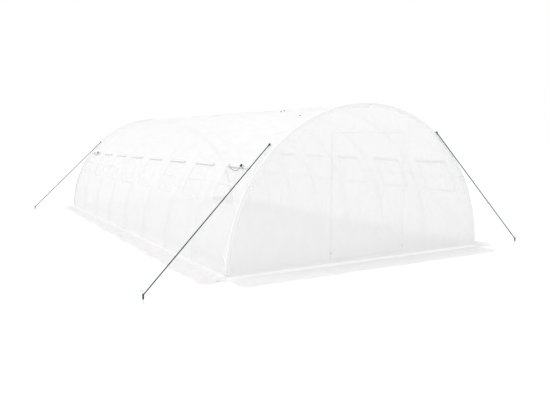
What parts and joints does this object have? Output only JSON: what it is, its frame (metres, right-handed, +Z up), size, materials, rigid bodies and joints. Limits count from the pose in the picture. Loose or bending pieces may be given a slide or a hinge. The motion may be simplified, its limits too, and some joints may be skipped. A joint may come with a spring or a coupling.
{
  "type": "tunnel greenhouse",
  "caption": "Half-round walk-in tunnel greenhouse: steel hoops under a translucent film cover, with side windows, zipped gable doors, ground skirts and guy ropes.",
  "frame": {"origin": "on the ground, in the middle of the tunnel's footprint", "axes": "+Z up, +Y along the tunnel from the front gable to the rear one, +X across it to the right as seen from the front"},
  "size_m": [6.023, 8.9226, 2],
  "materials": {
    "white_steel": "satin",
    "cover_film": "satin",
    "insect_net": "matte",
    "skirt_film": "satin",
    "green_rope": "matte",
    "peg_steel": "satin",
    "zip_plastic": "satin"
  },
  "bodies": {
    "tunnel": {"hoop_1": "white_steel", "hoop_2": "white_steel", "hoop_3": "white_steel", "hoop_4": "white_steel", "hoop_5": "white_steel", "hoop_6": "white_steel", "hoop_7": "white_steel", "hoop_8": "white_steel", "hoop_9": "white_steel", "ridge_purlin": "white_steel", "side_purlin_left": "white_steel", "side_purlin_right": "white_steel", "ground_rail_left": "white_steel", "ground_rail_right": "white_steel", "ground_rail_front": "white_steel", "ground_rail_rear": "white_steel", "corner_brace_front_left": "white_steel", "corner_brace_front_right": "white_steel", "corner_brace_rear_left": "white_steel", "corner_brace_rear_right": "white_steel", "cover": "cover_film", "window_net_left": "insect_net", "skirt_left": "skirt_film", "window_net_right": "insect_net", "skirt_right": "skirt_film", "gable_front": "cover_film", "skirt_front": "skirt_film", "guy_rope_front_left": "green_rope", "peg_front_left": "peg_steel", "guy_rope_front_right": "green_rope", "peg_front_right": "peg_steel", "gable_rear": "cover_film", "skirt_rear": "skirt_film", "guy_rope_rear_left": "green_rope", "peg_rear_left": "peg_steel", "guy_rope_rear_right": "green_rope", "peg_rear_right": "peg_steel"},
    "window_flap_left_1": {"window_flap_left_1": "cover_film"},
    "window_flap_left_2": {"window_flap_left_2": "cover_film"},
    "window_flap_left_3": {"window_flap_left_3": "cover_film"},
    "window_flap_left_4": {"window_flap_left_4": "cover_film"},
    "window_flap_left_5": {"window_flap_left_5": "cover_film"},
    "window_flap_left_6": {"window_flap_left_6": "cover_film"},
    "window_flap_left_7": {"window_flap_left_7": "cover_film"},
    "window_flap_left_8": {"window_flap_left_8": "cover_film"},
    "window_flap_right_1": {"window_flap_right_1": "cover_film"},
    "window_flap_right_2": {"window_flap_right_2": "cover_film"},
    "window_flap_right_3": {"window_flap_right_3": "cover_film"},
    "window_flap_right_4": {"window_flap_right_4": "cover_film"},
    "window_flap_right_5": {"window_flap_right_5": "cover_film"},
    "window_flap_right_6": {"window_flap_right_6": "cover_film"},
    "window_flap_right_7": {"window_flap_right_7": "cover_film"},
    "window_flap_right_8": {"window_flap_right_8": "cover_film"},
    "door_front": {"door_front": "cover_film"},
    "door_rear": {"door_rear": "cover_film"},
    "zip_slider_front_left": {"zip_slider_front_left": "zip_plastic"},
    "zip_slider_front_right": {"zip_slider_front_right": "zip_plastic"},
    "zip_slider_rear_left": {"zip_slider_rear_left": "zip_plastic"},
    "zip_slider_rear_right": {"zip_slider_rear_right": "zip_plastic"}
  },
  "joints": [
    {"name": "window_left_1_unroll", "type": "hinge", "parent": "tunnel", "child": "window_flap_left_1", "pos_m": [0, -3.5, 0], "axis": [0, -1, 0], "range_deg": [0, 14]},
    {"name": "window_left_2_unroll", "type": "hinge", "parent": "tunnel", "child": "window_flap_left_2", "pos_m": [0, -2.5, 0], "axis": [0, -1, 0], "range_deg": [0, 14]},
    {"name": "window_left_3_unroll", "type": "hinge", "parent": "tunnel", "child": "window_flap_left_3", "pos_m": [0, -1.5, 0], "axis": [0, -1, 0], "range_deg": [0, 14]},
    {"name": "window_left_4_unroll", "type": "hinge", "parent": "tunnel", "child": "window_flap_left_4", "pos_m": [0, -0.5, 0], "axis": [0, -1, 0], "range_deg": [0, 14]},
    {"name": "window_left_5_unroll", "type": "hinge", "parent": "tunnel", "child": "window_flap_left_5", "pos_m": [0, 0.5, 0], "axis": [0, -1, 0], "range_deg": [0, 14]},
    {"name": "window_left_6_unroll", "type": "hinge", "parent": "tunnel", "child": "window_flap_left_6", "pos_m": [0, 1.5, 0], "axis": [0, -1, 0], "range_deg": [0, 14]},
    {"name": "window_left_7_unroll", "type": "hinge", "parent": "tunnel", "child": "window_flap_left_7", "pos_m": [0, 2.5, 0], "axis": [0, -1, 0], "range_deg": [0, 14]},
    {"name": "window_left_8_unroll", "type": "hinge", "parent": "tunnel", "child": "window_flap_left_8", "pos_m": [0, 3.5, 0], "axis": [0, -1, 0], "range_deg": [0, 14]},
    {"name": "window_right_1_unroll", "type": "hinge", "parent": "tunnel", "child": "window_flap_right_1", "pos_m": [0, -3.5, 0], "axis": [0, 1, 0], "range_deg": [0, 14]},
    {"name": "window_right_2_unroll", "type": "hinge", "parent": "tunnel", "child": "window_flap_right_2", "pos_m": [0, -2.5, 0], "axis": [0, 1, 0], "range_deg": [0, 14]},
    {"name": "window_right_3_unroll", "type": "hinge", "parent": "tunnel", "child": "window_flap_right_3", "pos_m": [0, -1.5, 0], "axis": [0, 1, 0], "range_deg": [0, 14]},
    {"name": "window_right_4_unroll", "type": "hinge", "parent": "tunnel", "child": "window_flap_right_4", "pos_m": [0, -0.5, 0], "axis": [0, 1, 0], "range_deg": [0, 14]},
    {"name": "window_right_5_unroll", "type": "hinge", "parent": "tunnel", "child": "window_flap_right_5", "pos_m": [0, 0.5, 0], "axis": [0, 1, 0], "range_deg": [0, 14]},
    {"name": "window_right_6_unroll", "type": "hinge", "parent": "tunnel", "child": "window_flap_right_6", "pos_m": [0, 1.5, 0], "axis": [0, 1, 0], "range_deg": [0, 14]},
    {"name": "window_right_7_unroll", "type": "hinge", "parent": "tunnel", "child": "window_flap_right_7", "pos_m": [0, 2.5, 0], "axis": [0, 1, 0], "range_deg": [0, 14]},
    {"name": "window_right_8_unroll", "type": "hinge", "parent": "tunnel", "child": "window_flap_right_8", "pos_m": [0, 3.5, 0], "axis": [0, 1, 0], "range_deg": [0, 14]},
    {"name": "door_front_lift", "type": "hinge", "parent": "tunnel", "child": "door_front", "pos_m": [0, -4.0211, 1.64], "axis": [-1, 0, 0], "range_deg": [0, 90]},
    {"name": "zip_front_left_open", "type": "slide", "parent": "tunnel", "child": "zip_slider_front_left", "axis": [0, 0, 1], "range_m": [0, 1.45]},
    {"name": "zip_front_right_open", "type": "slide", "parent": "tunnel", "child": "zip_slider_front_right", "axis": [0, 0, 1], "range_m": [0, 1.45]},
    {"name": "door_rear_lift", "type": "hinge", "parent": "tunnel", "child": "door_rear", "pos_m": [0, 4.0211, 1.64], "axis": [1, 0, 0], "range_deg": [0, 90]},
    {"name": "zip_rear_left_open", "type": "slide", "parent": "tunnel", "child": "zip_slider_rear_left", "axis": [0, 0, 1], "range_m": [0, 1.45]},
    {"name": "zip_rear_right_open", "type": "slide", "parent": "tunnel", "child": "zip_slider_rear_right", "axis": [0, 0, 1], "range_m": [0, 1.45]}
  ]
}
